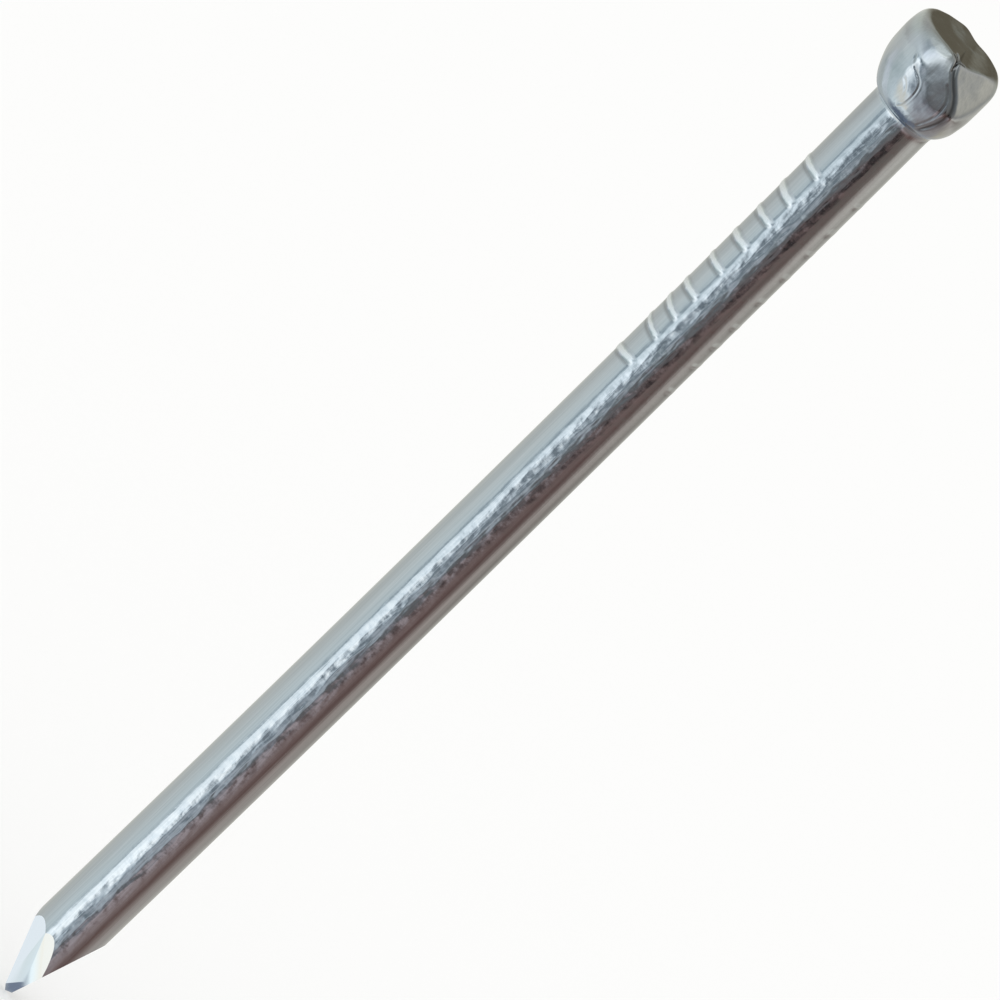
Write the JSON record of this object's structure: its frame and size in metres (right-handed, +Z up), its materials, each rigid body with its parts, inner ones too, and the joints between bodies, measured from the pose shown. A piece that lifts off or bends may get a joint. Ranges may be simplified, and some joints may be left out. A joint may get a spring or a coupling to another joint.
{
  "type": "track nail",
  "caption": "Small lost-head wire nail that pins model railway track to its baseboard: bulbous head, gripper-die ribs below it and a diamond point, bright zinc-plated.",
  "frame": {"origin": "on the shank's axis at the neck, the level where the head starts and the sleeper's face comes", "axes": "+Z runs up the shank's axis towards the head and -Z is the way the nail is driven; +X and -X point at the two gripper dies, so at the two ribbed sides"},
  "size_m": [0.0013, 0.0012, 0.016],
  "materials": {
    "zinc_plate": "bright zinc plate on drawn steel wire"
  },
  "bodies": {
    "root": {"track_nail": "zinc_plate"}
  },
  "joints": []
}
